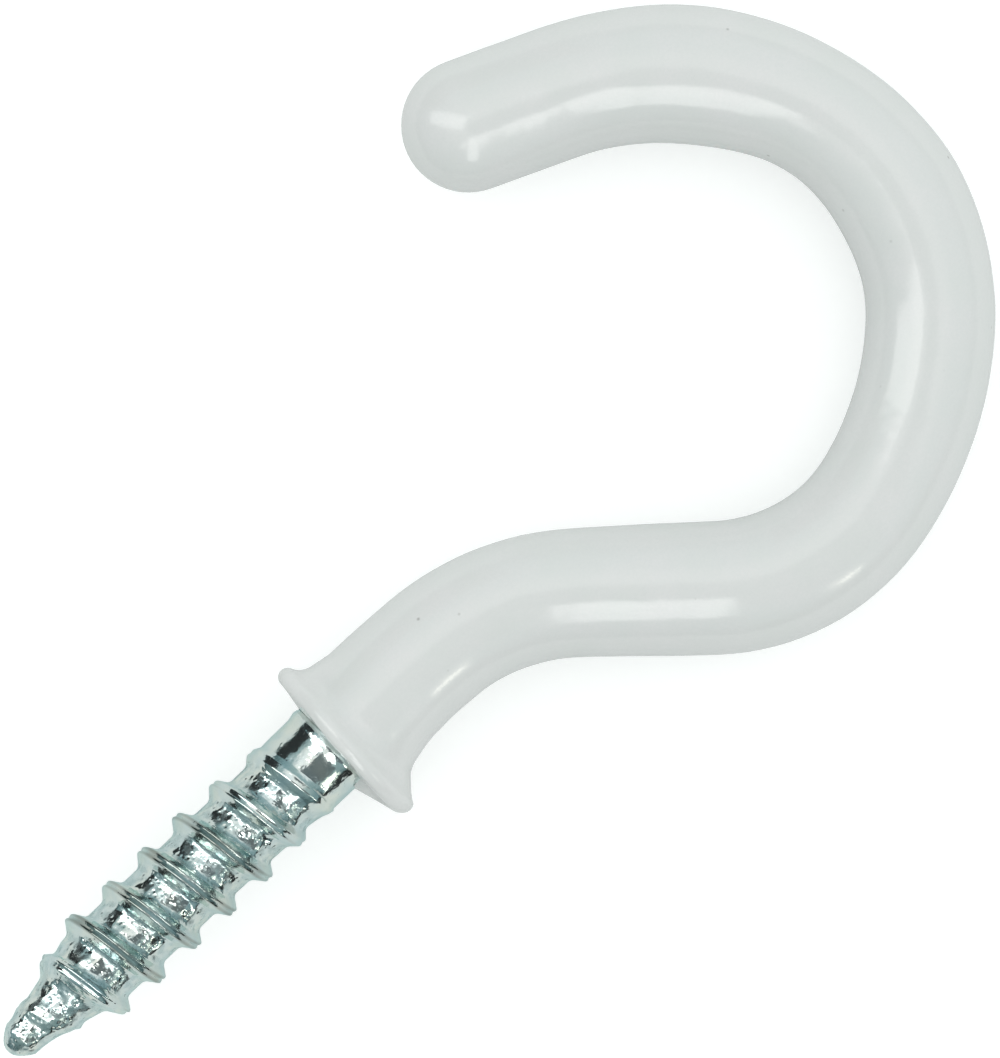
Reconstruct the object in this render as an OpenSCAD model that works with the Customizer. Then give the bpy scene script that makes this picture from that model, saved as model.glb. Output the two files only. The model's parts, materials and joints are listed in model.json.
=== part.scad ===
// Plastic-coated screw hook, lying on its side as it comes to rest.
//
// The hook is a steel wire with a wood-screw thread on one end. Above the thread
// the wire is bent into a hook, and a thick skin of plastic covers that part from
// the collar, which seats on the wood, to the rounded end.
//
// Before it is laid down the screw's axis is +X, towards the hook, the bends lie
// flat in XY, and the origin is the centre of the collar's seat. It then leans by
// a degree or two, so that the collar's rim and the loop both touch the ground.

/* [Wire] */
// Diameter of the steel wire, which is also the plain shank's
wire_d = 3.5; // [3:0.1:4.5]
// Plain shank between the seat and the start of the threaded core
plain_len = 1.3; // [0.8:0.1:3]

/* [Thread] */
// Length of the screw, from the seat to the tip
screw_len = 16.1; // [14:0.1:30]
// Diameter over the thread's crests
thread_d = 4.1; // [3.8:0.1:5.5]
// Diameter of the threaded core, at the bottom of the thread
core_d = 3.15; // [2.2:0.05:3.6]
// Distance from one turn of the thread to the next
pitch = 1.8; // [1.4:0.1:2.4]
// Width of the thread's ridge where it meets the core
ridge_base_w = 1.1; // [0.6:0.05:1.2]
// Width of the ridge's flat crest
crest_w = 0.25; // [0.1:0.05:0.4]
// Angle around the shank at which the thread starts, from +Y towards +Z
start_angle = -15; // [-180:5:180]
// Length over which the thread fades out towards the plain shank
run_out_len = 3; // [1:0.1:4]

/* [Point] */
// Length of the tapered end of the core, nose included
taper_len = 4.3; // [3:0.1:6]
// Length of the blunt nose at the very tip
nose_len = 0.7; // [0.4:0.1:1.2]
// Diameter where the nose meets the taper
nose_d = 1.55; // [1:0.05:2]
// Diameter of the blunted tip
tip_d = 0.5; // [0.2:0.05:0.9]
// Distance from the tip at which the thread begins to rise
thread_lead = 2.45; // [1.8:0.05:4]
// Length over which the thread rises to its full height
lead_in_len = 2.2; // [1:0.1:3]

/* [Coat] */
// Thickness of the plastic skin
coat_t = 0.7; // [0.4:0.05:1]

/* [Collar] */
// Diameter over the collar's rim
collar_d = 6.9; // [6.5:0.1:9]
// Thickness of the rounded rim
rim_t = 0.86; // [0.5:0.02:1.2]
// Height of the rim's middle above the seat
rim_rise = 0.75; // [0.65:0.05:1.2]
// Radius of the hollow flare from the rim up to the tube
flare_r = 1.1; // [0.8:0.05:2]

/* [Hook] */
// Straight neck, from the seat to the first bend
neck_len = 4.9; // [4:0.1:10]
// Angle of the first bend, which leans the neck away from the loop
neck_turn = 41.5; // [20:0.5:50]
// Radius of the first bend, at the middle of the wire
neck_r = 8.75; // [6:0.25:12]
// Straight part between the first bend and the loop
lean_len = 5.1; // [3:0.1:10]
// Angles of the loop's four bends, in order
loop_turns = [56, 26.5, 76.5, 39]; // [10:0.5:90]
// Radii of the loop's four bends, at the middle of the wire
loop_radii = [7.25, 13.25, 8.75, 11.75]; // [6:0.25:16]
// Straight part before the rounded end
end_len = 3.5; // [1:0.1:8]

/* [Hidden] */

// Facets of the exact round parts, and columns around the thread's skin
$fn = 96;
columns = 36;
// Densities, in grams for each cubic millimetre, which settle how it lies
steel_density = 0.00785;
plastic_density = 0.00135;

wire_r = wire_d / 2;
coat_r = wire_r + coat_t;
collar_r = collar_d / 2;
core_r = core_d / 2;
thread_h = thread_d / 2 - core_r;

// ---- The bent wire's route, as straights that each end in a bend ----
// Each leg is [straight length, bend angle to the left, bend radius]
legs = [
    [neck_len, -neck_turn, neck_r],
    [lean_len, loop_turns[0], loop_radii[0]],
    for (k = [1 : len(loop_turns) - 1]) [0, loop_turns[k], loop_radii[k]],
    [end_len, 0, 0]
];

// A state is [x, y, heading]. This is the state at the end of a leg begun at s
function advance(s, leg) =
    let (
        side = leg[1] < 0 ? -1 : 1,
        x = s[0] + leg[0] * cos(s[2]),
        y = s[1] + leg[0] * sin(s[2]),
        turned = s[2] + leg[1],
        swing = side * leg[2]
    )
    [
        x + swing * (sin(turned) - sin(s[2])),
        y + swing * (cos(s[2]) - cos(turned)),
        turned
    ];
// The state in which leg k begins
function start_of(k) = k == 0 ? [0, 0, 0] : advance(start_of(k - 1), legs[k - 1]);

// ---- How it lies: on the collar's rim and on the lowest point of the loop ----
// A short step along the route, for the sums below
route_step = 0.5;
function bend_len(leg) = abs(leg[1]) * PI / 180 * leg[2];
// The part of a leg up to the distance t from its start
function part_of(leg, t) =
    t <= leg[0] ? [t, 0, 0] : [leg[0], leg[1] * (t - leg[0]) / bend_len(leg), leg[2]];
// Points along the whole route, an equal step apart
route = [
    for (k = [0 : len(legs) - 1])
        for (t = [0 : route_step : legs[k][0] + bend_len(legs[k])])
            advance(start_of(k), part_of(legs[k], t))
];
function total(list) = list * [for (item = list) 1];

// Mass of one step of the coated wire, and of the whole screw
step_mass = route_step * PI *
    (steel_density * pow(wire_r, 2) + plastic_density * (pow(coat_r, 2) - pow(wire_r, 2)));
screw_mass = steel_density * PI * pow(core_r, 2) * screw_len;
hook_mass = step_mass * len(route);
balance_x = (step_mass * total([for (p = route) p[0]]) - screw_mass * screw_len / 2)
    / (hook_mass + screw_mass);
balance_y = step_mass * total([for (p = route) p[1]]) / (hook_mass + screw_mass);

// How far a place is from the rim, and how far the loop reaches, towards a bearing
function towards(b, x, y) = (x - rim_rise) * cos(b) + y * sin(b);
function reach(b) = max([for (p = route) towards(b, p[0], p[1])]);
// It rocks until its balance point is lowest, which is where this share is largest
function share(b) = towards(b, balance_x, balance_y) / reach(b);
bearings = [for (b = [-90 : 1 : 90]) b];
shares = [for (b = bearings) share(b)];
rest_bearing = [for (k = [0 : len(bearings) - 1]) if (shares[k] == max(shares)) bearings[k]][0];
rest_tilt = asin((collar_r - coat_r) / reach(rest_bearing));

// ---- Joints between exact shapes ----
// Curves that would only touch are let into each other by this much, so they cross
nip = 0.005;
// Each leg stops this far short of a joint, and a ball a nip larger fills the joint
joint_gap = 0.05;

// ---- Profile of the collar, as [distance from the axis, height above the seat] ----
rim_r = rim_t / 2;
rim_mid = [collar_r - rim_r, rim_rise];
// The sloping underside leaves the wire at the seat and runs into the rim's lower side
seat_edge = [wire_r, 0];
to_rim = rim_mid - seat_edge;
under_angle = atan2(to_rim[1], to_rim[0]) - asin(rim_r / norm(to_rim));
rim_foot = rim_mid + (rim_r - nip) * [sin(under_angle), -cos(under_angle)];
// The flare's arc runs from the rim's upper side to the tube
flare_out = coat_r + flare_r - rim_mid[0];
flare_rise = sqrt(pow(flare_r + rim_r - nip, 2) - pow(flare_out, 2));
flare_mid = [coat_r + flare_r, rim_rise + flare_rise];

// ---- The threaded skin ----
// One turn's section: where the ridge starts, crests and ends, and its height there
section_x = [0, (ridge_base_w - crest_w) / 2, (ridge_base_w + crest_w) / 2, ridge_base_w];
section_h = [0, thread_h, thread_h, 0];
points_per_turn = len(section_x);
last_point = points_per_turn - 1;
// How far the core runs up inside the plain shank
core_overlap = 0.5;
// Plain core left below the first turn and above the last
skin_margin = 0.1;
// Chamfer from the plain shank down into the core, which it meets before its end
shoulder_len = 0.4;
shoulder_r = core_r - 0.1;
skin_start = -screw_len + nose_len + skin_margin;
skin_end = -plain_len + core_overlap - skin_margin;
skin_columns = floor((skin_end - skin_start - ridge_base_w) / pitch * columns) + 1;
last_column = skin_columns - 1;

function fade(t) = sqrt(min(1, max(0, t)));
// Radius of the core at x, along the taper and the straight part
function core_at(x) =
    let (along = (x + screw_len - nose_len) / (taper_len - nose_len))
    nose_d / 2 + (core_r - nose_d / 2) * min(1, max(0, along));
// The thread rises from its lead near the tip and fades out below the plain shank
function rise_at(x) =
    fade((x + screw_len - thread_lead) / lead_in_len) * fade((-x - plain_len) / run_out_len);
function azimuth(g) = start_angle + 360 * g / columns;
function around(x, r, a) = [x, r * cos(a), r * sin(a)];
function skin_point(g, s) =
    let (x = skin_start + pitch * g / columns + section_x[s])
    around(x, core_at(x) + section_h[s] * rise_at(x), azimuth(g));

// Order of the points: the skin, then the ring at the nose, the ring inside the
// plain shank, and the blunt tip's ring
skin_count = skin_columns * points_per_turn;
function at(g, s) = s < points_per_turn ? g * points_per_turn + s : (g + columns) * points_per_turn;
function nose_at(m) = skin_count + m % columns;
function top_at(m) = skin_count + columns + m % columns;
function tip_at(m) = skin_count + 2 * columns + m % columns;
first_open = last_column - columns;

module thread_skin() {
    nose_x = -screw_len + nose_len;
    top_x = -plain_len + core_overlap;
    skin_points = [for (g = [0 : last_column]) for (s = [0 : last_point]) skin_point(g, s)];
    nose_ring = [for (m = [0 : columns - 1]) around(nose_x, nose_d / 2, azimuth(m))];
    top_ring = [for (m = [0 : columns - 1]) around(top_x, core_r, azimuth(m + first_open))];
    tip_ring = [for (m = [0 : columns - 1]) around(-screw_len, tip_d / 2, azimuth(m))];
    faces = [
        // Flanks, crest and core of every turn
        for (g = [0 : last_column - 1])
            for (s = [0 : last_point])
                if (s < last_point || g + 1 <= first_open)
                    each [
                        [at(g, s), at(g, s + 1), at(g + 1, s + 1)],
                        [at(g, s), at(g + 1, s + 1), at(g + 1, s)]
                    ],
        // Core between the nose and the first turn
        for (m = [0 : columns - 2])
            each [
                [nose_at(m), at(m, 0), at(m + 1, 0)],
                [nose_at(m), at(m + 1, 0), nose_at(m + 1)]
            ],
        [nose_at(columns - 1), at(columns - 1, 0), nose_at(0)],
        [nose_at(0), at(columns - 1, 0), at(0, 0)],
        for (s = [0 : last_point]) [at(0, s), at(columns - 1, 0), at(0, s + 1)],
        // Core between the last turn and the ring inside the plain shank
        for (m = [1 : columns - 1])
            each [
                [at(first_open + m, last_point), top_at(m), top_at(m + 1)],
                [at(first_open + m, last_point), top_at(m + 1), at(first_open + m + 1, last_point)]
            ],
        [at(first_open, last_point), top_at(1), at(first_open + 1, last_point)],
        [at(first_open, last_point), at(last_column, 0), top_at(1)],
        for (s = [0 : last_point - 1]) [at(last_column, s), at(last_column, s + 1), top_at(1)],
        [at(last_column, last_point), top_at(0), top_at(1)],
        // Nose, blunt tip and the flat end inside the shank
        for (m = [0 : columns - 1])
            each [
                [tip_at(m), nose_at(m), nose_at(m + 1)],
                [tip_at(m), nose_at(m + 1), tip_at(m + 1)]
            ],
        [for (m = [0 : columns - 1]) tip_at(m)],
        [for (m = [columns - 1 : -1 : 0]) top_at(m)]
    ];
    polyhedron(concat(skin_points, nose_ring, top_ring, tip_ring), faces, convexity = 10);
}

// ---- Shapes ----
// A round bar of radius r along the route, from the first bend to the last leg's end
module bar(r) {
    last = len(legs) - 1;
    for (k = [0 : last]) {
        s = start_of(k);
        leg = legs[k];
        translate([s[0], s[1], 0]) rotate([0, 0, s[2]]) {
            if (k > 0) sphere(r + nip);
            if (k > 0 && leg[0] > 0)
                straight(joint_gap, leg[0] - (k < last ? joint_gap : 0), r);
            if (k < last) translate([leg[0], 0, 0]) {
                if (leg[0] > 0) sphere(r + nip);
                bend(leg[1], leg[2], r);
            }
        }
    }
}

// A straight stretch of bar along +X
module straight(from, to, r) {
    translate([from, 0, 0]) rotate([0, 90, 0]) cylinder(h = to - from, r = r);
}

// One bend that starts at the origin along +X and turns to the left by angle
module bend(angle, bend_r, r) {
    gap_angle = joint_gap / bend_r * 180 / PI;
    if (angle > 0)
        translate([0, bend_r, 0]) rotate([0, 0, gap_angle - 90])
            rotate_extrude(angle = angle - 2 * gap_angle) translate([bend_r, 0]) circle(r);
    if (angle < 0) mirror([0, 1, 0]) bend(-angle, bend_r, r);
}

// The collar, its flare and the straight neck, as one turned shape on the screw's axis
module collar_and_neck() {
    top = neck_len - joint_gap;
    rotate([90, 0, 90]) rotate_extrude() {
        difference() {
            polygon([
                [0, 0], seat_edge, rim_foot, rim_mid, flare_mid,
                [coat_r, flare_mid[1]], [coat_r, top], [0, top]
            ]);
            translate(flare_mid) circle(flare_r);
        }
        translate(rim_mid) circle(rim_r);
    }
}

// The wire through the neck, the plain shank and the shoulder down to the core
module shank() {
    rotate([90, 0, 90]) rotate_extrude() polygon([
        [0, -plain_len - shoulder_len], [shoulder_r, -plain_len - shoulder_len],
        [wire_r, -plain_len], [wire_r, neck_len - joint_gap], [0, neck_len - joint_gap]
    ]);
}

// Lays the hook on its side
module laid_down() {
    rotate(a = rest_tilt, v = [-sin(rest_bearing), cos(rest_bearing), 0]) children();
}

// ---- Sub-parts ----
// The steel wire: bent inside the coat, plain at the seat, threaded below it
module steel_screw() color([0.72, 0.76, 0.78]) laid_down() {
    bar(wire_r);
    shank();
    thread_skin();
}

// The plastic coat: a closed skin with a rounded end and a flared collar
module plastic_coat() color([0.9, 0.92, 0.91]) laid_down() {
    end = start_of(len(legs));
    difference() {
        union() {
            bar(coat_r);
            translate([end[0], end[1], 0]) sphere(coat_r + nip);
            collar_and_neck();
        }
        bar(wire_r);
        straight(-plain_len, neck_len - joint_gap, wire_r);
    }
}

steel_screw();
plastic_coat();
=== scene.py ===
# %% [markdown]
# # A plastic-coated screw hook
#
# This lesson dresses a small hardware part whose construction is already settled: a
# steel wire with a wood-screw thread on one end, bent into a hook, and a white plastic
# skin over the bent part that flares into a collar where the hook seats on the wood.
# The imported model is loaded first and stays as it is. It says how big everything is
# and where it lies; the two pieces modelled below stand in its place with the detail
# that a solid for collision doesn't carry.

# %% The frame
import json
import math

import bmesh
import bpy
from mathutils import Matrix, Vector, noise


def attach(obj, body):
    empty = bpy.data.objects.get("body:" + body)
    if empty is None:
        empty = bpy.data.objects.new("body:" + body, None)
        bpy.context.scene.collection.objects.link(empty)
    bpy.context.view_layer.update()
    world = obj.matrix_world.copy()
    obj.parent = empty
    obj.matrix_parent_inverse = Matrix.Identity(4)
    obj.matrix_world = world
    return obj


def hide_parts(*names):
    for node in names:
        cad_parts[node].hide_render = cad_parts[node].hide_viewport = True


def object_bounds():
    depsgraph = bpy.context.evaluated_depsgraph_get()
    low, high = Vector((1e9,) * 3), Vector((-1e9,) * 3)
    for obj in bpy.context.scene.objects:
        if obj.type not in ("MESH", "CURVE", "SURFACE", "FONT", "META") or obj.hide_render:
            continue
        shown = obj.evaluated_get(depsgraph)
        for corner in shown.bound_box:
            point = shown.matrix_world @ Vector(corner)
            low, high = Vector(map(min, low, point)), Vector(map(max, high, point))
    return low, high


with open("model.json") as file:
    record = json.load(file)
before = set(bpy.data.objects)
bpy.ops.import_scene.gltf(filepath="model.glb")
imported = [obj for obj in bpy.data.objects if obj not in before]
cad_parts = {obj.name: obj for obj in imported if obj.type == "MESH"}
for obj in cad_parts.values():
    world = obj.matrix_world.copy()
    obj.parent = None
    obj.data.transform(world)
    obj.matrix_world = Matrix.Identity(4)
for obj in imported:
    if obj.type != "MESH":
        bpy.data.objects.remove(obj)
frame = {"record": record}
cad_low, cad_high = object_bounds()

print("CAD box, mm:", [round(c * 1000, 2) for c in (*cad_low, *cad_high)])

# %% [markdown]
# ## Sizes and the route
#
# The hook is one wire that somebody bent in a press: straights that each end in a
# bend. Writing it down as that short list of legs, and not as a cloud of points, keeps
# every bend a true arc. The hook is modelled flat, with the screw along X and the
# centre of the collar's seat at the origin, because rings are easy to turn and scale
# there. It leans by two degrees only when it is finished, when it is laid down on its
# rim and its loop as the CAD model is.

# %% Sizes of the wire, the coat and the bends
MM = 0.001
AXIS = Vector((1, 0, 0))
WIRE_R = 1.75 * MM
COAT_R = 2.45 * MM
BORE_GAP = 0.02 * MM
# Points nearer to each other than this are one point
MERGE_WITHIN = 0.001 * MM
# Each leg is its straight length, the angle of its bend to the left, and the bend's radius
LEGS = [
    (4.9 * MM, math.radians(-41.5), 8.75 * MM),
    (5.1 * MM, math.radians(56), 7.25 * MM),
    (0, math.radians(26.5), 13.25 * MM),
    (0, math.radians(76.5), 8.75 * MM),
    (0, math.radians(39), 11.75 * MM),
    (3.5 * MM, 0, 0),
]
REST_BEARING = math.radians(-11)
REST_TILT = math.radians(2.049)
LAID_DOWN = Matrix.Rotation(
    REST_TILT, 4, (-math.sin(REST_BEARING), math.cos(REST_BEARING), 0)
)

screw_mount = frame["record"]["mounts"][0]
lean_error = (-(LAID_DOWN @ AXIS)).angle(Vector(screw_mount["axis"]))
print("screw axis is off the CAD's by", round(math.degrees(lean_error), 3), "degrees")


# %% Walking along the legs in short steps
def steps_along(legs, longest, start=0.0):
    """Yields (turn, centre of the turn, end of the step, distance along the route)."""
    x, y, heading, travelled = start, 0.0, 0.0, start
    for number, (straight, turn, bend_r) in enumerate(legs):
        straight -= start if number == 0 else 0
        count = math.ceil(straight / longest)
        for _ in range(count):
            x += straight / count * math.cos(heading)
            y += straight / count * math.sin(heading)
            travelled += straight / count
            yield 0.0, None, Vector((x, y, 0)), travelled
        side = math.copysign(bend_r, turn)
        centre = Vector((x - side * math.sin(heading), y + side * math.cos(heading), 0))
        count = math.ceil(abs(turn) * bend_r / longest)
        for _ in range(count):
            heading += turn / count
            travelled += abs(turn) / count * bend_r
            x = centre.x + side * math.sin(heading)
            y = centre.y - side * math.cos(heading)
            yield turn / count, centre, Vector((x, y, 0)), travelled


ROUTE_LENGTH = [step[3] for step in steps_along(LEGS, 1 * MM)][-1]
print("length of the wire past the seat, mm:", round(ROUTE_LENGTH / MM, 2))

# %% [markdown]
# ## Tools for working on a ring
#
# Both pieces grow from one ring of edges. Extruding the ring, moving or turning the
# new one, and resizing it is all that a tube, a flare or a dome needs. A subdivided
# curve with a bevel would also make the tube, but it can't carry a collar, a skin that
# is thicker in one place than in another, or a hollow inside.


# %% Helpers: start a ring, pull it, resize it, close it
def new_ring(name, count, radius, place):
    """A ring of edges around X, in edit mode with all of it selected."""
    bpy.ops.object.select_all(action="DESELECT")
    bpy.ops.mesh.primitive_circle_add(
        vertices=count, radius=radius, location=place, rotation=(0, math.radians(90), 0)
    )
    bpy.ops.object.transform_apply(location=True, rotation=True, scale=True)
    piece = bpy.context.object
    piece.name = name
    piece.data.name = name
    bpy.ops.object.mode_set(mode="EDIT")
    bpy.ops.mesh.select_all(action="SELECT")
    return piece


def resize(factor, middle):
    bpy.ops.transform.resize(value=(factor, factor, factor), center_override=middle)


def pull(move):
    bpy.ops.mesh.extrude_edges_move(TRANSFORM_OT_translate={"value": move})


def pull_profile(profile):
    """Pulls the ring through (place along X, radius) points, the first being where it is."""
    for (x0, r0), (x1, r1) in zip(profile, profile[1:]):
        pull((x1 - x0, 0, 0))
        resize(r1 / r0, (x1, 0, 0))


def pull_along(legs, size_at, longest, start=0.0):
    """Pulls the ring along the legs. Spin turns clockwise for a positive angle."""
    here = Vector((start, 0, 0))
    size = size_at(start)
    for turn, centre, there, travelled in steps_along(legs, longest, start):
        if turn:
            bpy.ops.mesh.spin(steps=1, angle=-turn, center=centre, axis=(0, 0, 1))
        else:
            pull(there - here)
        resize(size_at(travelled) / size, there)
        here = there
        size = size_at(travelled)
    return here


def select_where(piece, test):
    """Selects, in edit mode, the vertices that pass the test, and nothing else."""
    bpy.ops.mesh.select_mode(type="VERT")
    bpy.ops.mesh.select_all(action="DESELECT")
    mesh = bmesh.from_edit_mesh(piece.data)
    for vertex in mesh.verts:
        vertex.select = test(vertex.co)
    mesh.select_flush_mode()
    bmesh.update_edit_mesh(piece.data)
    print("points of the", piece.name, "held:", sum(vertex.select for vertex in mesh.verts))


def select_open_end(piece, place):
    """Selects, in edit mode, the open edges at this place along the screw's axis."""
    bpy.ops.mesh.select_mode(type="EDGE")
    bpy.ops.mesh.select_all(action="DESELECT")
    mesh = bmesh.from_edit_mesh(piece.data)
    for edge in mesh.edges:
        at_place = all(abs(vertex.co.x - place) < 2 * MERGE_WITHIN for vertex in edge.verts)
        edge.select = edge.is_boundary and at_place
    bmesh.update_edit_mesh(piece.data)


def merge_and_face_out():
    bpy.ops.mesh.select_all(action="SELECT")
    bpy.ops.mesh.remove_doubles(threshold=MERGE_WITHIN)
    bpy.ops.mesh.normals_make_consistent(inside=False)


def lay_down(piece):
    """Leans the finished piece as the hook rests, with its place in its mesh."""
    bpy.ops.object.mode_set(mode="OBJECT")
    piece.matrix_world = LAID_DOWN
    bpy.ops.object.select_all(action="DESELECT")
    piece.select_set(True)
    bpy.context.view_layer.objects.active = piece
    bpy.ops.object.transform_apply(location=True, rotation=True, scale=True)


def report(piece):
    mesh = bmesh.new()
    mesh.from_mesh(piece.data)
    loose = sum(not edge.is_manifold for edge in mesh.edges)
    triangles = sum(len(face.verts) - 2 for face in mesh.faces)
    low = [round(min(v.co[k] for v in mesh.verts) / MM, 2) for k in range(3)]
    high = [round(max(v.co[k] for v in mesh.verts) / MM, 2) for k in range(3)]
    volume = mesh.calc_volume(signed=True) / MM**3
    mesh.free()
    print(piece.name, triangles, "triangles,", loose, "open edges, box mm", low, high)
    print("  volume mm3", round(volume, 1))


# %% [markdown]
# ## The plastic coat
#
# The coat is soft white plastic. It was made by dipping the hot wire or by moulding
# over it, so it has no seam, a rounded end, and a thickness that wanders by a tenth of
# a millimetre. At the seat it spreads into a collar: a shallow cone underneath, a
# round rim, and a hollow flare back up to the tube. The outside starts as a ring at
# the seat and is pulled through the collar's profile, along every leg, and over the
# dome. A Solidify modifier could make the wall, but the bore has to be round and
# smooth whatever the outside does, so it is pulled from the same first ring afterwards.

# %% Profile of the collar
RIM_R = 0.34 * MM
RIM_AT = Vector((0.66, 3.11)) * MM
FLARE_R = 1.2 * MM
# The flare's hollow touches both the rim and the tube
FLARE_Y = COAT_R + FLARE_R
FLARE_X = RIM_AT.x + math.sqrt((RIM_R + FLARE_R) ** 2 - (FLARE_Y - RIM_AT.y) ** 2)
FLARE_AT = Vector((FLARE_X, FLARE_Y))
FOOT_AT = Vector((0.28 * MM, WIRE_R + 0.06 * MM))


def spread(first, last, count):
    return [first + (last - first) * k / (count - 1) for k in range(count)]


def arc(middle, radius, first, last, count):
    """(place along X, radius) points of an arc, with angles from straight towards the tip."""
    return [
        middle + radius * Vector((-math.cos(angle), math.sin(angle)))
        for angle in spread(first, last, count)
    ]


def collar_profile():
    """From the foot out under the rim, round the rim and up the flare to the tube."""
    to_rim = RIM_AT - FOOT_AT
    under = math.atan2(to_rim.x, to_rim.y) - math.asin(RIM_R / to_rim.length)
    to_flare = FLARE_AT - RIM_AT
    join = math.atan2(to_flare.y, to_flare.x)
    rim = arc(RIM_AT, RIM_R, under, math.pi - join, 16)
    flare = arc(FLARE_AT, FLARE_R, -join, -math.pi / 2, 12)
    underside = [FOOT_AT.lerp(rim[0], share) for share in (0, 0.2, 0.4, 0.6, 0.8)]
    return underside + rim + flare[1:]


print("collar profile has", len(collar_profile()), "rings")

# %% Thickness of the skin along the wire
# Distance along the route, and the tube's radius there
THICKNESS = [
    (0, 2.45), (3, 2.44), (6, 2.36), (9.5, 2.36), (17, 2.46), (24, 2.36), (31, 2.38), (35, 2.46),
    (39, 2.38), (44, 2.55), (49, 2.47), (60, 2.45),
]


def coat_r_at(travelled):
    """Runs smoothly from one thickness to the next."""
    place = travelled / MM
    for (s0, r0), (s1, r1) in zip(THICKNESS, THICKNESS[1:]):
        if place <= s1:
            share = (place - s0) / (s1 - s0)
            return MM * (r0 + (r1 - r0) * share * share * (3 - 2 * share))
    return THICKNESS[-1][1] * MM


# %% Pull the outside of the coat, from the foot of the collar to the end of the tube
COAT_RING = 96
coat = new_ring("coat", COAT_RING, FOOT_AT.y, (FOOT_AT.x, 0, 0))
pull_profile(collar_profile())
route_end = pull_along(LEGS, coat_r_at, 0.4 * MM, FLARE_AT.x)

# %% Round the end over and close it at its pole
END_HEADING = sum(turn for _, turn, _ in LEGS)
END_WAY = Vector((math.cos(END_HEADING), math.sin(END_HEADING), 0))
DOME_RINGS = 14
dome_r = coat_r_at(ROUTE_LENGTH)
for k in range(DOME_RINGS):
    low_angle, high_angle = (math.pi / 2 * (k + j) / DOME_RINGS for j in (0, 1))
    pull(END_WAY * dome_r * (math.sin(high_angle) - math.sin(low_angle)))
    tip = route_end + END_WAY * dome_r * math.sin(high_angle)
    if k < DOME_RINGS - 1:
        resize(math.cos(high_angle) / math.cos(low_angle), tip)
bpy.ops.mesh.merge(type="CENTER")
merge_and_face_out()
print("outside of the coat has", len(bmesh.from_edit_mesh(coat.data).verts), "points")

# %% The end sagged a little flat while it was soft
SAGGED_LEN = 8.5 * MM
end = route_end + END_WAY * dome_r
select_where(coat, lambda co: (co - end).length < 0.01 * MM)
bpy.ops.transform.resize(
    value=(1, 1, 0.7),
    center_override=end,
    use_proportional_edit=True,
    proportional_edit_falloff="LINEAR",
    proportional_size=SAGGED_LEN,
)

# %% [markdown]
# ### A collar that was never quite true
#
# Soft plastic sets as it likes. The rim sits a little to one side and isn't square to
# the screw, and below it a lip of plastic has run down the shank on one side. Selecting
# a few rings and moving them with proportional editing is how such a thing is pushed
# out of true by hand: what is near follows, what is far stays.

# %% Push the rim to one side, tip it, and let the lip run down
def push(piece, test, move, reach, falloff="SMOOTH"):
    select_where(piece, test)
    bpy.ops.transform.translate(
        value=move,
        use_proportional_edit=True,
        proportional_edit_falloff=falloff,
        proportional_size=reach,
    )


def on_rim(co):
    return co.x < 1.2 * MM and math.hypot(co.y, co.z) > 2.9 * MM


def on_foot(co):
    return co.x < 0.32 * MM and math.hypot(co.y, co.z) < 2.0 * MM


push(coat, on_rim, (0, -0.22 * MM, 0), 1.3 * MM)
push(coat, lambda co: on_rim(co) and co.y > 1.5 * MM, (0.14 * MM, 0, 0), 1.6 * MM)
push(
    coat,
    lambda co: on_foot(co) and co.y < -1.5 * MM and abs(co.z) < 0.6 * MM,
    (-0.48 * MM, 0, 0),
    1.8 * MM,
    "LINEAR",
)

# %% Fill the flare's hollow on either side, and thin the tube past it on the lower one
def push_out(side, first, last, out, level, amount, reach):
    """Pushes the flare out on its +Y or -Y side, all in mm, where it lies in these limits."""
    push(
        coat,
        lambda co: (
            first * MM < co.x < last * MM and side * co.y > out * MM and abs(co.z) < level * MM
        ),
        (0, side * amount * MM, 0),
        reach * MM,
    )


push_out(-1, first=1, last=1.5, out=2.4, level=1.6, amount=0.16, reach=1)
push_out(-1, first=1.1, last=1.4, out=2.4, level=1.6, amount=0.17, reach=0.6)
push_out(1, first=1.4, last=1.8, out=2.2, level=1.6, amount=0.13, reach=0.7)
push_out(-1, first=2, last=2.5, out=1.1, level=3, amount=0.1, reach=1.2)
push_out(-1, first=3.2, last=4.2, out=2.2, level=1.4, amount=-0.09, reach=1.3)

# %% A shallow dent in the skin, just before the first bend
push(
    coat,
    lambda co: 4 * MM < co.x < 4.4 * MM and -1.9 * MM < co.y < -0.7 * MM and co.z > 0,
    (0, 0.025 * MM, -0.04 * MM),
    1 * MM,
)

# %% Press the underside flat again above the lip
FLAT_X = 0.25 * MM
select_where(
    coat,
    lambda co: co.x < FLAT_X and co.z > 0.8 * MM and math.hypot(co.y, co.z) < 3.2 * MM,
)
bpy.ops.transform.resize(value=(0, 1, 1), center_override=(FLAT_X, 0, 0))

# %% Press the rim down where it lies uppermost, and fill and stroke the flare behind it
push(coat, lambda co: on_rim(co) and co.z > 2 * MM, (-0.1 * MM, 0, -0.34 * MM), 1.5 * MM)
push(
    coat,
    lambda co: 1.3 * MM < co.x < 2 * MM and co.z > 2.1 * MM,
    (0, 0, 0.12 * MM),
    1.2 * MM,
)
select_where(coat, lambda co: 0.35 * MM < co.x < 3 * MM and co.z > 1.2 * MM)
bpy.ops.mesh.vertices_smooth(factor=0.5, repeat=16)

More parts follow.
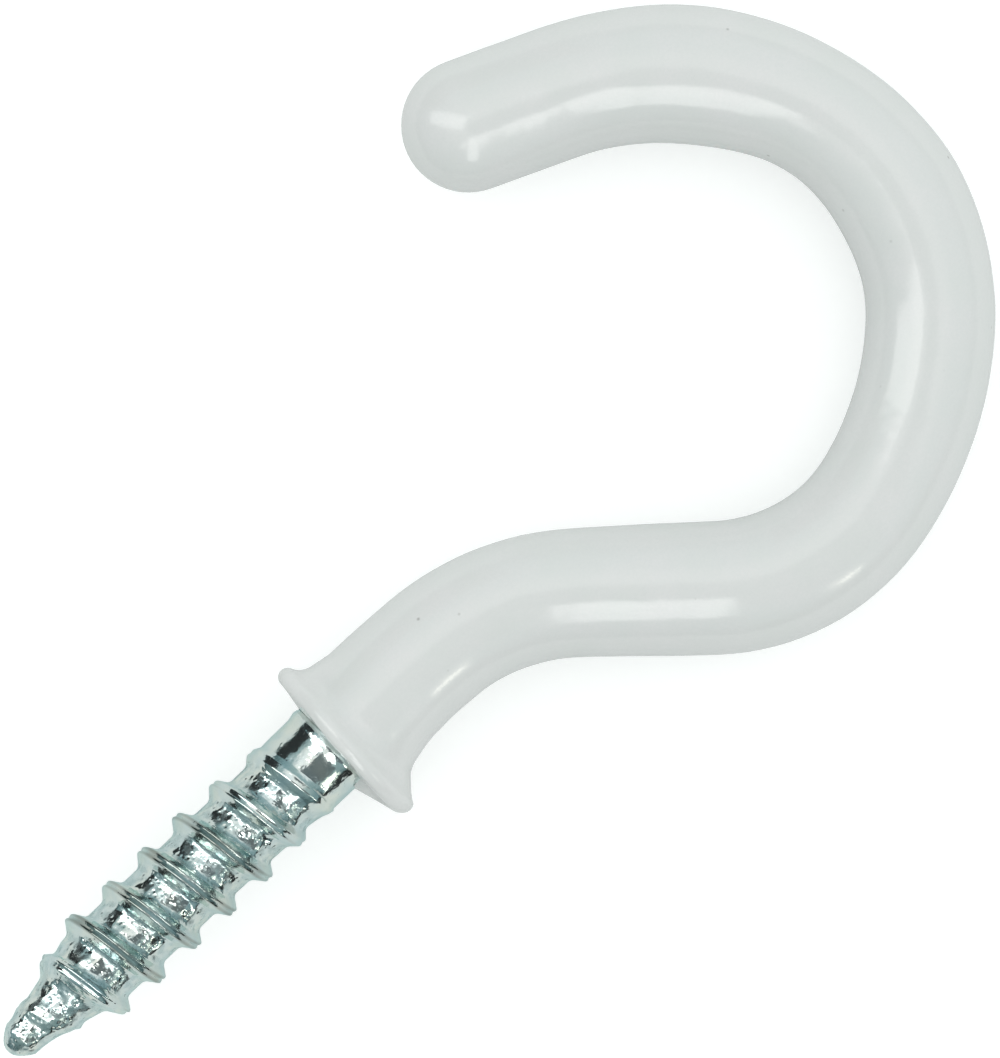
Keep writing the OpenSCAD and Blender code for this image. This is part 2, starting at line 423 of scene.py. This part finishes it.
# %% Give the skin its slight waviness
bpy.ops.object.mode_set(mode="OBJECT")
before = [vertex.co.copy() for vertex in coat.data.vertices]
waves = bpy.data.textures.new("skin_waves", "CLOUDS")
waves.noise_scale = 2.6 * MM
wavy = coat.modifiers.new("waves", "DISPLACE")
wavy.texture = waves
wavy.strength = 0.05 * MM
wavy.mid_level = 0.5
bpy.ops.object.modifier_apply(modifier="waves")
shifts = [(vertex.co - was).length for vertex, was in zip(coat.data.vertices, before)]
print("waves move the skin by up to, mm:", round(max(shifts) / MM, 3))

# %% Hollow it out: the bore is a second tube, bridged to the foot of the collar
bpy.ops.object.mode_set(mode="EDIT")
bpy.ops.mesh.select_all(action="DESELECT")
BORE_START = 0.7 * MM
bpy.ops.mesh.primitive_circle_add(
    vertices=COAT_RING,
    radius=WIRE_R + BORE_GAP,
    location=(BORE_START, 0, 0),
    rotation=(0, math.radians(90), 0),
)
pull_along(LEGS, lambda travelled: WIRE_R + BORE_GAP, 0.8 * MM, BORE_START)
bpy.ops.mesh.edge_face_add()
bpy.ops.mesh.select_mode(type="EDGE")
bpy.ops.mesh.select_all(action="DESELECT")
bpy.ops.mesh.select_non_manifold(extend=False)
bpy.ops.mesh.bridge_edge_loops()
merge_and_face_out()
lay_down(coat)
bpy.ops.object.shade_smooth_by_angle(angle=math.radians(60))
report(coat)

# %% [markdown]
# ## The steel wire and its thread
#
# The thread was rolled: two dies squeezed a ridge up out of the wire, which is why the
# crest stands proud of the plain shank and has a fine seam along its top, where the
# two sides of the ridge met. So the thread starts as that ridge's outline, drawn one
# point at a time, with its corners rounded by a vertex bevel, and the Screw modifier
# turns it into a helix. Cutting a ridge out of a cylinder would be slower, and a bump
# map wouldn't change the outline of the screw, which is where a thread is seen first.

# %% Draw one pitch of the thread's outline
PITCH = 1.8 * MM
CORE_R = 1.575 * MM
CREST_R = 2.06 * MM
SEAM_DEPTH = 0.07 * MM
CREST_W = 0.26 * MM
# The flank towards the tip leans a little more than the one towards the collar
TIP_FLANK_W = 0.36 * MM
COLLAR_FLANK_W = 0.3 * MM
TIP_X = -16.1 * MM
SHANK_X = -0.5 * MM
# A crest of the CAD model's thread on its +Y side
CREST_AT = -3.875 * MM
TURNS = 11
TURNS_BEFORE_CREST = 8
STEPS = 120
# The outline's ends join the turns beside it, so only what lies between these is rounded
ROUND_FROM = 0.2 * PITCH
ROUND_TO = 0.85 * PITCH

crest_start = (PITCH - CREST_W) / 2
crest_end = (PITCH + CREST_W) / 2
outline = [
    (0, CORE_R),
    (crest_start - TIP_FLANK_W, CORE_R),
    (crest_start, CREST_R),
    (PITCH / 2, CREST_R - SEAM_DEPTH),
    (crest_end, CREST_R),
    (crest_end + COLLAR_FLANK_W, CORE_R),
    (PITCH, CORE_R),
]
first_x = CREST_AT - PITCH / 2 - TURNS_BEFORE_CREST * PITCH
bpy.ops.object.select_all(action="DESELECT")
bpy.ops.mesh.primitive_plane_add(size=PITCH)
steel = bpy.context.object
steel.name = "steel"
steel.data.name = "steel"
bpy.ops.object.mode_set(mode="EDIT")
bpy.ops.mesh.select_mode(type="VERT")
bpy.ops.mesh.select_all(action="SELECT")
bpy.ops.mesh.merge(type="CENTER")
bpy.ops.transform.translate(value=(first_x, CORE_R, 0))
for (x0, r0), (x1, r1) in zip(outline, outline[1:]):
    bpy.ops.mesh.extrude_vertices_move(
        TRANSFORM_OT_translate={"value": (x1 - x0, r1 - r0, 0)}
    )


def round_corners(radius_test, offset, segments):
    select_where(
        steel,
        lambda co: radius_test(co.y) and ROUND_FROM < co.x - first_x < ROUND_TO,
    )
    bpy.ops.mesh.bevel(affect="VERTICES", offset=offset, segments=segments)


round_corners(lambda r: r < CORE_R + 0.01 * MM, 0.16 * MM, 5)
round_corners(lambda r: r > CREST_R - 0.01 * MM, 0.06 * MM, 4)
bpy.ops.mesh.select_all(action="DESELECT")
bpy.ops.object.mode_set(mode="OBJECT")
print("points in the outline of one pitch:", len(steel.data.vertices))

# %% Turn it into a helix, trim both ends square, and join its turns
helix = steel.modifiers.new("helix", "SCREW")
helix.axis = "X"
helix.angle = math.radians(360)
helix.screw_offset = PITCH
helix.iterations = TURNS
helix.steps = STEPS
helix.render_steps = STEPS
bpy.ops.object.modifier_apply(modifier="helix")
bpy.ops.object.mode_set(mode="EDIT")
bpy.ops.mesh.select_all(action="SELECT")
bpy.ops.mesh.remove_doubles(threshold=MERGE_WITHIN)
NOSE_X = TIP_X + 0.66 * MM
for place, way in ((NOSE_X, -1), (SHANK_X, 1)):
    bpy.ops.mesh.select_all(action="SELECT")
    bpy.ops.mesh.bisect(
        plane_co=(place, 0, 0),
        plane_no=(way, 0, 0),
        clear_outer=True,
        threshold=MERGE_WITHIN,
    )
bpy.ops.object.mode_set(mode="OBJECT")
print("points in the helix:", len(steel.data.vertices))

# %% [markdown]
# ### From a plain helix to a wood screw
#
# The helix has the same radius all along. A wood screw tapers to its point, its ridge
# starts from nothing near the tip and fades out towards the plain shank, and the
# shank swells to the wire's full thickness. That is one rule for each point, which
# moves in or out along its own radius, so it is written as such, and a lattice or a
# row of hand-made scalings would only be a coarser way of saying it.


# %% Move each point in or out by the screw's own profile
NOSE_R = 0.75 * MM
TAPER_LEN = 3.55 * MM


def held(share):
    return min(1, max(0, share))


def ease(share):
    return held(share) ** 2 * (3 - 2 * held(share))


def body_r(x):
    """Radius at the root of the thread: the taper, the core and the rise to the shank."""
    taper = held((x - NOSE_X) / TAPER_LEN) ** 1.4
    rise = ease((x / MM + 2.5) / 1.2)
    return NOSE_R + (CORE_R - NOSE_R) * taper + (WIRE_R - CORE_R) * rise


def ridge_share(x):
    """How much of the ridge's full height stands at x."""
    lead_in = math.sqrt(held((x / MM + 13.85) / 2))
    run_out = math.sqrt(held((-x / MM - 1.3) / 3))
    trace = 0.16 * ease((x / MM + 15.6) / 0.6)
    return max(trace, lead_in) * run_out


def uneven(place, size, depth):
    return noise.noise(place / size) * depth


for vertex in steel.data.vertices:
    x, y, z = vertex.co
    radius = math.hypot(y, z)
    ridge = (radius - CORE_R) * ridge_share(x)
    ridge *= 1 + uneven(vertex.co, 1.3 * MM, 0.16)
    rolled = ease((-x / MM - 1.2) / 0.8)
    dents = uneven(vertex.co, 0.8 * MM, 0.02 * MM) + uneven(vertex.co, 0.3 * MM, 0.006 * MM)
    wanted = body_r(x) + ridge + dents * rolled
    vertex.co = (x, y * wanted / radius, z * wanted / radius)

# %% Round the tip over, and carry the wire on through the hook
bpy.ops.object.mode_set(mode="EDIT")
select_open_end(steel, NOSE_X)
NOSE = [
    (NOSE_X, NOSE_R), (TIP_X + 0.48 * MM, 0.65 * MM), (TIP_X + 0.3 * MM, 0.52 * MM),
    (TIP_X + 0.15 * MM, 0.38 * MM), (TIP_X + 0.05 * MM, 0.24 * MM), (TIP_X, 0.1 * MM),
]
pull_profile(NOSE)
bpy.ops.mesh.edge_face_add()
select_open_end(steel, SHANK_X)
SWELL = [
    (SHANK_X, WIRE_R), (-0.28 * MM, 1.753 * MM), (-0.18 * MM, 1.768 * MM),
    (-0.08 * MM, 1.79 * MM), (0.02 * MM, 1.812 * MM), (0.1 * MM, 1.815 * MM),
    (0.2 * MM, 1.79 * MM), (0.3 * MM, WIRE_R),
]
pull_profile(SWELL)
pull_along(LEGS, lambda travelled: WIRE_R, 0.8 * MM, SWELL[-1][0])
bpy.ops.mesh.edge_face_add()
merge_and_face_out()

# %% The wire runs a little out of line where the thread fades out
push(steel, lambda co: -3.4 * MM < co.x < -0.6 * MM, (0, -0.03 * MM, 0), 1.2 * MM)
lay_down(steel)
bpy.ops.object.shade_smooth_by_angle(angle=math.radians(50))
report(steel)

# %% [markdown]
# ## Finishes
#
# Two effects are used by both finishes, so each is a node group that is built once:
# a soft mottle, and scattered spots. They put out only a mask; what the mask means is
# said in the material that uses it.


# %% Helpers for node trees
def add(tree, kind, **settings):
    """A node; settings named after a property set it, the others set an input."""
    made = tree.nodes.new("ShaderNode" + kind)
    for name, value in settings.items():
        if hasattr(made, name):
            setattr(made, name, value)
        else:
            made.inputs[name.replace("_", " ")].default_value = value
    return made


def link(tree, source, target):
    tree.links.new(source, target)


def new_group(name, inputs):
    group = bpy.data.node_groups.new(name, "ShaderNodeTree")
    for socket, value in inputs.items():
        kind = "NodeSocketVector" if socket == "Vector" else "NodeSocketFloat"
        made = group.interface.new_socket(socket, in_out="INPUT", socket_type=kind)
        if socket != "Vector":
            made.default_value = value
    group.interface.new_socket("Mask", in_out="OUTPUT", socket_type="NodeSocketFloat")
    return group, group.nodes.new("NodeGroupInput"), group.nodes.new("NodeGroupOutput")


def use(tree, group, coordinates, **values):
    made = add(tree, "Group")
    made.node_tree = group
    for name, value in values.items():
        made.inputs[name].default_value = value
    link(tree, coordinates, made.inputs["Vector"])
    return made.outputs["Mask"]


# %% Two shared effects: mottle and spots
mottle, group_in, group_out = new_group(
    "mottle", {"Vector": 0, "Scale": 1000, "Detail": 2, "Low": 0.4, "High": 0.6}
)
clouds = add(mottle, "TexNoise")
window = add(mottle, "MapRange")
link(mottle, group_in.outputs["Vector"], clouds.inputs["Vector"])
link(mottle, group_in.outputs["Scale"], clouds.inputs["Scale"])
link(mottle, group_in.outputs["Detail"], clouds.inputs["Detail"])
link(mottle, clouds.outputs["Fac"], window.inputs["Value"])
link(mottle, group_in.outputs["Low"], window.inputs["From Min"])
link(mottle, group_in.outputs["High"], window.inputs["From Max"])
link(mottle, window.outputs["Result"], group_out.inputs["Mask"])

spots, group_in, group_out = new_group(
    "spots", {"Vector": 0, "Scale": 1000, "Size": 0.2, "Share": 0.5}
)
cells = add(spots, "TexVoronoi")
round_spot = add(spots, "MapRange", interpolation_type="SMOOTHSTEP")
round_spot.inputs["From Max"].default_value = 0
picked = add(spots, "Math", operation="LESS_THAN")
both = add(spots, "Math", operation="MULTIPLY")
link(spots, group_in.outputs["Vector"], cells.inputs["Vector"])
link(spots, group_in.outputs["Scale"], cells.inputs["Scale"])
link(spots, cells.outputs["Distance"], round_spot.inputs["Value"])
link(spots, group_in.outputs["Size"], round_spot.inputs["From Min"])
link(spots, cells.outputs["Color"], picked.inputs[0])
link(spots, group_in.outputs["Share"], picked.inputs[1])
link(spots, round_spot.outputs["Result"], both.inputs[0])
link(spots, picked.outputs["Value"], both.inputs[1])
link(spots, both.outputs["Value"], group_out.inputs["Mask"])

# %% [markdown]
# ## White plastic
#
# The skin is a cool white with the faintest green in it, glossy but slightly rippled,
# because it was never polished. It carries a few dark specks that were in the dip. So
# its colour is a base with a mottle of a few percent, the specks darken it, and
# the gloss comes from a low roughness that varies, over a shallow ripple.

# %% Plastic for the coat
def new_material(name):
    made = bpy.data.materials.new(name)
    made.use_nodes = True
    return made, made.node_tree, made.node_tree.nodes["Principled BSDF"]


def mix_colours(tree, mask, first, second):
    """Either colour may be a socket or three numbers."""
    made = add(tree, "Mix", data_type="RGBA")
    # A Mix node keeps sockets for every kind of data, and its colours are these
    for socket, colour in ((made.inputs[6], first), (made.inputs[7], second)):
        if isinstance(colour, tuple):
            socket.default_value = (*colour, 1)
        else:
            link(tree, colour, socket)
    link(tree, mask, made.inputs[0])
    return made.outputs[2]


def ranged(tree, value, low, high):
    """Turns a 0 to 1 mask into a value between low and high."""
    made = add(tree, "MapRange")
    made.inputs["To Min"].default_value = low
    made.inputs["To Max"].default_value = high
    link(tree, value, made.inputs["Value"])
    return made.outputs["Result"]


def bump(tree, height, depth, under=None):
    made = add(tree, "Bump", Distance=depth)
    link(tree, height, made.inputs["Height"])
    if under is not None:
        link(tree, under, made.inputs["Normal"])
    return made.outputs["Normal"]


plastic, tree, shader = new_material("white_plastic")
at = add(tree, "TexCoord").outputs["Object"]
tint = use(tree, mottle, at, Scale=500, Low=0.3, High=0.7)
grain = use(tree, mottle, at, Scale=9000, Low=0.3, High=0.7)
specks = use(tree, spots, at, Scale=900, Size=0.09, Share=0.3)
body = mix_colours(tree, tint, (0.685, 0.725, 0.705), (0.71, 0.735, 0.725))
body = mix_colours(tree, ranged(tree, grain, 0, 0.5), body, (0.66, 0.70, 0.685))
body = mix_colours(tree, ranged(tree, specks, 0, 0.6), body, (0.22, 0.22, 0.2))
ripple = use(tree, mottle, at, Scale=700, Low=0, High=1)
link(tree, body, shader.inputs["Base Color"])
link(tree, ranged(tree, tint, 0.12, 0.18), shader.inputs["Roughness"])
link(tree, bump(tree, ripple, 0.022 * MM), shader.inputs["Normal"])
coat.data.materials.append(plastic)
print("white plastic has", len(tree.nodes), "nodes")

# %% [markdown]
# ## Zinc-plated steel
#
# The wire is plated with bright zinc. The rolled thread is pitted between its ridges,
# where the dies only squeezed it, and the crests and the plain shank are nearly as
# smooth as the drawn wire. Two materials would meet in a hard line, so one runs over
# the whole wire, and a mask by the distance from the screw's own axis fades the pits
# out where the metal is as thick as the wire was. It is fully metallic, and what makes
# it read as zinc is how its roughness and its slopes break up what it reflects. The
# crests are darkened towards grey with painted shade, for the dark reflections along them.

# %% Where the wire was rolled: everything thinner than the plain wire
zinc, tree, shader = new_material("zinc_plated_steel")
at = add(tree, "TexCoord").outputs["Object"]
upright = add(tree, "Mapping", Rotation=LAID_DOWN.inverted().to_euler())
link(tree, at, upright.inputs["Vector"])
across = add(tree, "VectorMath", operation="MULTIPLY")
link(tree, upright.outputs["Vector"], across.inputs[0])
across.inputs[1].default_value = (0, 1, 1)
distance = add(tree, "VectorMath", operation="LENGTH")
link(tree, across.outputs["Vector"], distance.inputs[0])
thin = add(tree, "MapRange", interpolation_type="SMOOTHSTEP")
thin.inputs["From Min"].default_value = 1.62 * MM
thin.inputs["From Max"].default_value = 1.72 * MM
thin.inputs["To Min"].default_value = 1
thin.inputs["To Max"].default_value = 0.22
link(tree, distance.outputs["Value"], thin.inputs["Value"])
rolled = thin.outputs["Result"]

# %% Painted shade: the crests are darkened, standing in for their dark reflections
painted_crest_shade = add(tree, "MapRange", interpolation_type="SMOOTHSTEP")
painted_crest_shade.inputs["From Min"].default_value = 1.94 * MM
painted_crest_shade.inputs["From Max"].default_value = 2.07 * MM
painted_crest_shade.inputs["To Max"].default_value = 0.75
link(tree, distance.outputs["Value"], painted_crest_shade.inputs["Value"])


# %% Zinc for the wire
def times(tree, first, second):
    made = add(tree, "Math", operation="MULTIPLY")
    link(tree, first, made.inputs[0])
    link(tree, second, made.inputs[1])
    return made.outputs["Value"]


patches = use(tree, mottle, at, Scale=1100, Low=0.35, High=0.65)
blotches = use(tree, mottle, at, Scale=3200, Low=0.42, High=0.58)
lumps = use(tree, mottle, at, Scale=2600, Detail=0, Low=0.2, High=0.8)
craters = use(tree, spots, at, Scale=5200, Size=0.6, Share=0.6)
grit = use(tree, mottle, at, Scale=7000, Detail=1, Low=0.2, High=0.8)
metal = mix_colours(tree, patches, (0.64, 0.74, 0.74), (0.76, 0.81, 0.75))
dull = times(tree, ranged(tree, blotches, 0, 0.6), rolled)
metal = mix_colours(tree, dull, metal, (0.48, 0.6, 0.6))
# Painted shade: the crests are mixed towards dark grey
metal = mix_colours(tree, painted_crest_shade.outputs["Result"], metal, (0.2, 0.22, 0.19))
link(tree, metal, shader.inputs["Base Color"])
shader.inputs["Metallic"].default_value = 1
link(tree, ranged(tree, times(tree, blotches, rolled), 0.12, 0.28), shader.inputs["Roughness"])
# What the plate reflects at a glancing angle is tinted too
shader.inputs["Specular Tint"].default_value = (0.82, 0.96, 0.96, 1)
dented = bump(tree, times(tree, lumps, rolled), 0.05 * MM)
dented = bump(tree, times(tree, craters, rolled), -0.015 * MM, dented)
dented = bump(tree, times(tree, grit, ranged(tree, rolled, 0.8, 1)), 0.005 * MM, dented)
link(tree, dented, shader.inputs["Normal"])
steel.data.materials.append(zinc)
print("zinc plate has", len(tree.nodes), "nodes")

# %% What each piece stands for, rides on and takes its finish from
for piece, node, slot in (
    (coat, "plastic_coat", "white_plastic"),
    (steel, "steel_screw", "zinc_plated_steel"),
):
    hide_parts(node)
    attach(piece, "root")

# %% [markdown]
# ## Camera
#
# The hook lies flat and is looked at from straight above, through a long lens from
# most of a metre away, so that nothing is foreshortened. The camera is turned about
# the vertical until the screw points down to the left.

# %% Camera straight above
TURNED = math.radians(43.47)
RIGHT = Vector((math.cos(TURNED), -math.sin(TURNED), 0))
UP = Vector((math.sin(TURNED), math.cos(TURNED), 0))
TARGET = Vector((10.218, 1.472, -0.3)) * MM
DISTANCE = 0.8
FRAME_HEIGHT = 38.897 * MM
camera = bpy.data.objects.new("camera", bpy.data.cameras.new("camera"))
bpy.context.scene.collection.objects.link(camera)
bpy.context.scene.camera = camera
camera.data.sensor_width = 36
camera.data.lens = 36 * DISTANCE / FRAME_HEIGHT
camera.data.clip_start = 0.01
camera.data.clip_end = 10
turn = Matrix((RIGHT, UP, (0, 0, 1))).transposed()
camera.matrix_world = Matrix.Translation(TARGET + Vector((0, 0, DISTANCE))) @ turn.to_4x4()
print("lens, mm:", round(camera.data.lens))

# %% [markdown]
# ## Floor, lamps and flags
#
# Small glossy things are lit in a white tent: the walls are white, a few lamps shine
# through them, and dark flags put the dark stripes into the metal, without which chrome
# and zinc look like grey paint. The floor is white paper. The tent is the world, each
# lamp is a rectangle of light that only reflections see, so that it draws a streak
# without a second shadow, and so is each flag, a card that is nearly black.


# %% The floor
def stage_plane(name, size, place):
    bpy.ops.object.select_all(action="DESELECT")
    bpy.ops.mesh.primitive_plane_add(size=size, location=place)
    made = bpy.context.object
    made.name = name
    made.data.name = name
    return made


def mirrored(tree, path):
    """1 for a ray that a mirror or glass sends on, and 0 for any other."""
    made = add(tree, "Math", operation="MAXIMUM")
    link(tree, path.outputs["Is Glossy Ray"], made.inputs[0])
    link(tree, path.outputs["Is Transmission Ray"], made.inputs[1])
    return made.outputs["Value"]


def brightness_by_ray(tree, in_light, in_mirrors, in_camera):
    """How bright a thing is as a light, in a mirror or through glass, and to the camera."""
    path = add(tree, "LightPath")
    for_mirrors = add(tree, "Math", operation="MULTIPLY_ADD")
    link(tree, mirrored(tree, path), for_mirrors.inputs[0])
    for_mirrors.inputs[1].default_value = in_mirrors - in_light
    for_mirrors.inputs[2].default_value = in_light
    for_camera = add(tree, "Math", operation="MULTIPLY_ADD")
    link(tree, path.outputs["Is Camera Ray"], for_camera.inputs[0])
    for_camera.inputs[1].default_value = in_camera - in_light
    link(tree, for_mirrors.outputs["Value"], for_camera.inputs[2])
    return for_camera.outputs["Value"]


floor = stage_plane("floor", 20, (0, 0, cad_low[2]))
paper, tree, shader = new_material("white_paper")
shader.inputs["Base Color"].default_value = (0.68, 0.71, 0.7, 1)
shader.inputs["Roughness"].default_value = 1
shader.inputs["Specular IOR Level"].default_value = 0
shader.inputs["Emission Color"].default_value = (1, 1, 1, 1)
glow = brightness_by_ray(tree, in_light=0, in_mirrors=0.1, in_camera=0.48)
link(tree, glow, shader.inputs["Emission Strength"])
floor.data.materials.append(paper)

# %% The tent: brighter towards the upper right, and darker low down in mirrors
def toward(azimuth, off_zenith):
    """Direction from the hook, with the azimuth counted from the right of the view."""
    level = RIGHT * math.cos(azimuth) + UP * math.sin(azimuth)
    return level * math.sin(off_zenith) + Vector((0, 0, math.cos(off_zenith)))


tent = bpy.data.worlds.new("tent")
bpy.context.scene.world = tent
tent.use_nodes = True
tree = tent.node_tree
walls = tree.nodes["Background"]
looking = add(tree, "TexCoord").outputs["Generated"]
path = add(tree, "LightPath")

upward = add(tree, "SeparateXYZ")
link(tree, looking, upward.inputs["Vector"])
heights = add(tree, "ValToRGB")
heights.color_ramp.interpolation = "EASE"
heights.color_ramp.elements[0].position = 0.1
heights.color_ramp.elements[0].color = (0.09, 0.15, 0.16, 1)
heights.color_ramp.elements[1].position = 0.95
heights.color_ramp.elements[1].color = (1, 1, 1, 1)
for position, colour in ((0.35, (0.23, 0.34, 0.36, 1)), (0.7, (0.33, 0.44, 0.46, 1))):
    stop = heights.color_ramp.elements.new(position)
    stop.color = colour
link(tree, upward.outputs["Z"], heights.inputs["Fac"])
tint = mix_colours(tree, mirrored(tree, path), (1, 1, 1), heights.outputs["Color"])
link(tree, tint, walls.inputs["Color"])

lit_side = add(tree, "VectorMath", operation="DOT_PRODUCT")
lit_side.inputs[1].default_value = toward(math.radians(60), math.radians(70))
link(tree, looking, lit_side.inputs[0])
shine = add(tree, "MapRange")
shine.inputs["From Min"].default_value = -1
shine.inputs["To Min"].default_value = 0.79
shine.inputs["To Max"].default_value = 1.15
link(tree, lit_side.outputs["Value"], shine.inputs["Value"])
seen = mix_colours(tree, path.outputs["Is Camera Ray"], shine.outputs["Result"], (1, 1, 1))
link(tree, seen, walls.inputs["Strength"])


# %% Lamps and flags
def facing(azimuth, low, high, across, away):
    """A rectangle that spans the given degrees: its matrix, width and height."""
    middle = math.radians((low + high) / 2)
    azimuth = math.radians(azimuth)
    back = toward(azimuth, middle)
    up = toward(azimuth, middle - math.pi / 2)
    side = up.cross(back)
    turn = Matrix((side, up, back)).transposed().to_4x4()
    height = 2 * away * math.tan(math.radians(high - low) / 2)
    width = 2 * away * math.tan(math.radians(across) / 2)
    return Matrix.Translation(TARGET + back * away) @ turn, width, height


def lamp(name, azimuth, low, high, across, glow, colour):
    matrix, width, height = facing(azimuth, low, high, across, 0.5)
    light = bpy.data.lights.new(name, "AREA")
    light.shape = "RECTANGLE"
    light.size = width
    light.size_y = height
    light.energy = glow * math.pi * width * height
    light.color = colour
    made = bpy.data.objects.new(name, light)
    bpy.context.scene.collection.objects.link(made)
    made.matrix_world = matrix
    made.visible_camera = False
    made.visible_diffuse = False


def flag(name, azimuth, low, high, across, shade):
    matrix, width, height = facing(azimuth, low, high, across, 0.7)
    made = stage_plane(name, 1, (0, 0, 0))
    made.matrix_world = matrix @ Matrix.Diagonal((width, height, 1, 1))
    card, _, shader = new_material(name)
    shader.inputs["Base Color"].default_value = (0, 0, 0, 1)
    shader.inputs["Specular IOR Level"].default_value = 0
    shader.inputs["Emission Color"].default_value = (0.8, 0.95, 1, 1)
    shader.inputs["Emission Strength"].default_value = shade
    made.data.materials.append(card)
    made.visible_camera = False
    made.visible_diffuse = False
    made.visible_transmission = False
    made.visible_shadow = False


# Azimuth, nearest and farthest angle from overhead, angle across, glow or shade, colour
lamp("lamp_below", -88, 18, 53, 13, 3.4, (1, 1, 0.98))
lamp("lamp_below_left", -111, 26, 36, 6, 2, (1, 1, 0.98))
lamp("lamp_left", 168, 12, 62, 18, 2.8, (1, 1, 0.98))
lamp("lamp_lower_right", -47.5, 54, 72, 8, 1.6, (1, 0.94, 0.8))
lamp("lamp_on_flare", -46, 61, 67, 3.6, 8, (1, 0.98, 0.85))
flag("flag_upper_left", 133.5, 52, 87, 50, 0.03)
flag("flag_overhead", -46.5, -5, 47, 26, 0.18)
flag("flag_lower_right", -46.5, 74, 90, 60, 0.02)

bpy.context.scene.view_settings.view_transform = "Standard"
